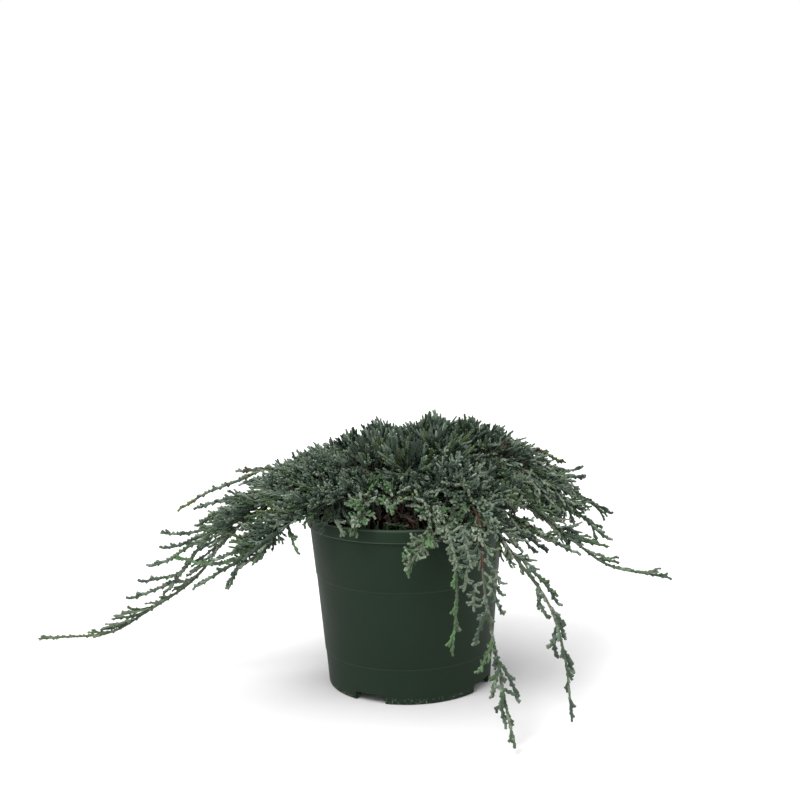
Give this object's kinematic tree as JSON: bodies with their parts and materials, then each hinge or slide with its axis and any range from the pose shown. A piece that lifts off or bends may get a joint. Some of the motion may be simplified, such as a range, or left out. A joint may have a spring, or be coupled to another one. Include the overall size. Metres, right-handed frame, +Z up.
{
  "type": "potted creeping juniper",
  "caption": "Creeping juniper in a round tapered nursery pot: a low dense mound of scale-leaf foliage on short limbs, with long shoots that trail over the rim and past the foot of the pot.",
  "frame": {"origin": "centre of the pot's flat underside, on the surface that the pot stands on", "axes": "+Z up; -Y towards the plant's front, where shoots fall over the rim; +X to the plant's right, against the longest trailing shoot"},
  "size_m": [0.5335, 0.3798, 0.2288],
  "materials": {
    "pot": "satin",
    "potting_mix": "rough",
    "bark": "rough",
    "foliage": "matte"
  },
  "bodies": {
    "root": {"pot": "pot", "soil": "potting_mix", "trunk": "bark", "bough_front": "bark", "bough_front_spray": "bark", "bough_front_green": "bark", "bough_front_red": "bark", "bough_right_hang": "bark", "bough_right_low": "bark", "bough_right_long": "bark", "bough_right": "bark", "bough_right_upper": "bark", "bough_back_right": "bark", "bough_back_fall": "bark", "bough_back": "bark", "bough_back_trail": "bark", "bough_back_left": "bark", "bough_left_upper": "bark", "bough_left_long": "bark", "bough_left_second": "bark", "bough_left_curl": "bark", "bough_left_drop": "bark", "bough_front_left": "bark", "foliage_front": "foliage", "foliage_front_spray": "foliage", "foliage_front_green": "foliage", "foliage_front_green_end": "foliage", "foliage_front_red": "foliage", "foliage_front_red_middle": "foliage", "foliage_front_red_end": "foliage", "foliage_right_hang": "foliage", "foliage_right_hang_end": "foliage", "foliage_right_low": "foliage", "foliage_right_long": "foliage", "foliage_right_long_end": "foliage", "foliage_right": "foliage", "foliage_right_upper": "foliage", "foliage_back_right": "foliage", "foliage_back_fall": "foliage", "foliage_back_fall_end": "foliage", "foliage_back": "foliage", "foliage_back_trail": "foliage", "foliage_back_trail_end": "foliage", "foliage_back_left": "foliage", "foliage_left_upper": "foliage", "foliage_left_long": "foliage", "foliage_left_long_middle": "foliage", "foliage_left_long_end": "foliage", "foliage_left_second": "foliage", "foliage_left_curl": "foliage", "foliage_left_drop": "foliage", "foliage_front_left": "foliage", "foliage_crown_top": "foliage", "foliage_crown_front": "foliage", "foliage_crown_front_right": "foliage", "foliage_crown_right": "foliage", "foliage_crown_back_right": "foliage", "foliage_crown_back_left": "foliage", "foliage_crown_left": "foliage", "foliage_crown_front_left": "foliage"}
  },
  "joints": []
}
